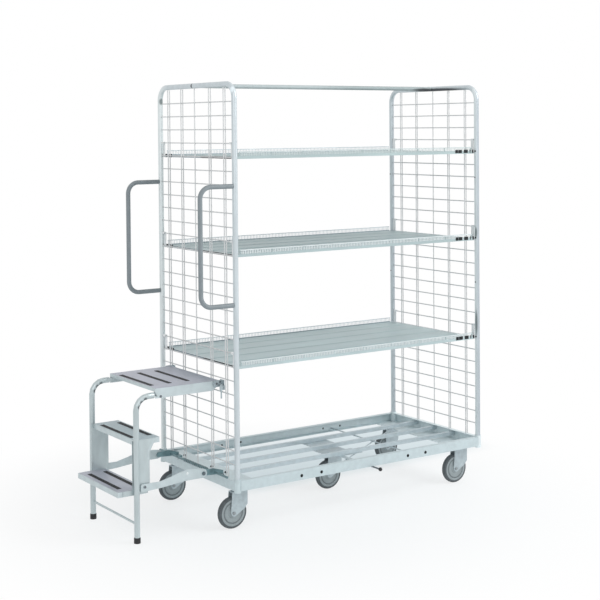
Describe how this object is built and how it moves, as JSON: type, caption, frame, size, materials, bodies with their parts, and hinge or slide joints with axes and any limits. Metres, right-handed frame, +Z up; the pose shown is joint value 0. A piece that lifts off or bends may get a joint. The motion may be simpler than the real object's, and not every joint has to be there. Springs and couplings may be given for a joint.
{
  "type": "order picking trolley",
  "caption": "Order picking trolley with wire end frames, hook-in shelves, corner swivel castors, a centre wheel and a lift-up step ladder at the handle end.",
  "frame": {"origin": "bottom centre of the bounding box, on the floor", "axes": "+X along the trolley from the ladder end to the plain end, +Y from the front to the back, +Z up"},
  "size_m": [1.6708, 0.657, 1.7116],
  "materials": {
    "galvanised": "bright zinc plating, pale blue-grey, satin",
    "zinc_parts": "zinc plating, darker satin",
    "wire": "zinc-plated wire",
    "handle_coat": "mid-grey plastic coating",
    "tyre_grey": "dark grey rubber",
    "hub_grey": "light grey moulded plastic",
    "black_knob": "black ball",
    "black_rubber": "black rubber"
  },
  "bodies": {
    "trolley": {"arm_carrier": "zinc_parts", "base_end_left": "galvanised", "base_end_right": "galvanised", "base_rail_back": "galvanised", "base_rail_front": "galvanised", "castor_mount_centre": "zinc_parts", "castor_plate_back_left": "zinc_parts", "castor_plate_back_right": "zinc_parts", "castor_plate_front_left": "zinc_parts", "castor_plate_front_right": "zinc_parts", "cross_rod": "zinc_parts", "deck_bar_back": "galvanised", "deck_bar_front": "galvanised", "deck_bar_middle": "galvanised", "end_frame_left": "galvanised", "end_frame_right": "galvanised", "end_plate_left": "galvanised", "end_plate_right": "galvanised", "fork_centre": "zinc_parts", "handle_back": "handle_coat", "handle_front": "handle_coat", "ladder_hinge": "zinc_parts", "lift_spring": "zinc_parts", "mesh_left": "wire", "mesh_right": "wire", "top_bar": "galvanised"},
    "castor_front_left": {"fork_front_left": "zinc_parts"},
    "wheel_front_left": {"hub_front_left": "hub_grey", "tyre_front_left": "tyre_grey"},
    "castor_front_right": {"fork_front_right": "zinc_parts"},
    "wheel_front_right": {"hub_front_right": "hub_grey", "tyre_front_right": "tyre_grey"},
    "castor_back_left": {"fork_back_left": "zinc_parts"},
    "wheel_back_left": {"hub_back_left": "hub_grey", "tyre_back_left": "tyre_grey"},
    "castor_back_right": {"fork_back_right": "zinc_parts"},
    "wheel_back_right": {"hub_back_right": "hub_grey", "tyre_back_right": "tyre_grey"},
    "wheel_centre": {"hub_centre": "hub_grey", "tyre_centre": "tyre_grey"},
    "shelf_low_lift": {"shelf_low": "galvanised", "shelf_fence_low": "galvanised"},
    "shelf_middle_lift": {"shelf_middle": "galvanised", "shelf_fence_middle": "galvanised"},
    "shelf_top_lift": {"shelf_top": "galvanised", "shelf_fence_top": "galvanised"},
    "platform": {"ladder_platform": "galvanised"},
    "ladder_legs": {"ladder_leg_front": "galvanised", "ladder_leg_back": "galvanised", "ladder_foot_front": "black_rubber", "ladder_foot_back": "black_rubber", "ladder_step_middle": "galvanised", "ladder_step_low": "galvanised"},
    "ladder_arms": {"ladder_arm_front": "galvanised", "ladder_arm_back": "galvanised"},
    "lock_pin_body": {"lock_pin": "zinc_parts"},
    "pull_knob_rod": {"pull_rod": "zinc_parts", "pull_knob": "black_knob"},
    "crank": {"lock_crank": "zinc_parts"},
    "castor_lock_rod": {"lock_rod": "zinc_parts"}
  },
  "joints": [
    {"name": "swivel_front_left", "type": "hinge", "parent": "trolley", "child": "castor_front_left", "pos_m": [-0.34491, -0.21487, 0.1457], "axis": [0, 0, 1], "continuous": true},
    {"name": "spin_front_left", "type": "hinge", "parent": "castor_front_left", "child": "wheel_front_left", "pos_m": [-0.38541, -0.21487, 0.0615], "axis": [0, 1, 0], "continuous": true},
    {"name": "swivel_front_right", "type": "hinge", "parent": "trolley", "child": "castor_front_right", "pos_m": [0.77409, -0.21487, 0.1457], "axis": [0, 0, 1], "continuous": true},
    {"name": "spin_front_right", "type": "hinge", "parent": "castor_front_right", "child": "wheel_front_right", "pos_m": [0.73359, -0.21487, 0.0615], "axis": [0, 1, 0], "continuous": true},
    {"name": "swivel_back_left", "type": "hinge", "parent": "trolley", "child": "castor_back_left", "pos_m": [-0.34491, 0.26013, 0.1457], "axis": [0, 0, 1], "continuous": true},
    {"name": "spin_back_left", "type": "hinge", "parent": "castor_back_left", "child": "wheel_back_left", "pos_m": [-0.38541, 0.26013, 0.0615], "axis": [0, 1, 0], "continuous": true},
    {"name": "swivel_back_right", "type": "hinge", "parent": "trolley", "child": "castor_back_right", "pos_m": [0.77409, 0.26013, 0.1457], "axis": [0, 0, 1], "continuous": true},
    {"name": "spin_back_right", "type": "hinge", "parent": "castor_back_right", "child": "wheel_back_right", "pos_m": [0.73359, 0.26013, 0.0615], "axis": [0, 1, 0], "continuous": true},
    {"name": "spin_centre", "type": "hinge", "parent": "trolley", "child": "wheel_centre", "pos_m": [0.23559, 0.02263, 0.0615], "axis": [0, 1, 0], "continuous": true},
    {"name": "shelf_low_lift_off", "type": "slide", "parent": "trolley", "child": "shelf_low_lift", "axis": [0, 0, 1], "range_m": [0, 0.02]},
    {"name": "shelf_middle_lift_off", "type": "slide", "parent": "trolley", "child": "shelf_middle_lift", "axis": [0, 0, 1], "range_m": [0, 0.02]},
    {"name": "shelf_top_lift_off", "type": "slide", "parent": "trolley", "child": "shelf_top_lift", "axis": [0, 0, 1], "range_m": [0, 0.02]},
    {"name": "platform_hinge", "type": "hinge", "parent": "trolley", "child": "platform", "pos_m": [-0.42541, 0.02263, 0.555], "axis": [0, 1, 0], "range_deg": [0, 12]},
    {"name": "leg_hinge", "type": "hinge", "parent": "platform", "child": "ladder_legs", "pos_m": [-0.67741, 0.02263, 0.543], "axis": [0, 1, 0], "range_deg": [-12, 0]},
    {"name": "arm_hinge", "type": "hinge", "parent": "trolley", "child": "ladder_arms", "pos_m": [-0.47741, 0.02263, 0.214], "axis": [0, 1, 0], "range_deg": [0, 12]},
    {"name": "lock_pin_slide", "type": "slide", "parent": "trolley", "child": "lock_pin_body", "axis": [0, 0, 1], "range_m": [0, 0.03]},
    {"name": "knob_pull", "type": "slide", "parent": "trolley", "child": "pull_knob_rod", "axis": [0, -1, 0], "range_m": [0, 0.01]},
    {"name": "crank_turn", "type": "hinge", "parent": "trolley", "child": "crank", "pos_m": [0.20499, -0.19827, 0.158], "axis": [0, 0, -1], "range_deg": [0, 12.5]},
    {"name": "lock_rod_slide", "type": "slide", "parent": "trolley", "child": "castor_lock_rod", "axis": [0.8342, 0.5515, 0], "range_m": [0, 0.0082]}
  ],
  "couplings": [
    {"joint": "leg_hinge", "follows": "platform_hinge", "ratio": -1},
    {"joint": "arm_hinge", "follows": "platform_hinge", "ratio": 1},
    {"joint": "crank_turn", "follows": "knob_pull", "rad_per_m": 21.459},
    {"joint": "lock_rod_slide", "follows": "knob_pull", "ratio": 0.7946}
  ]
}
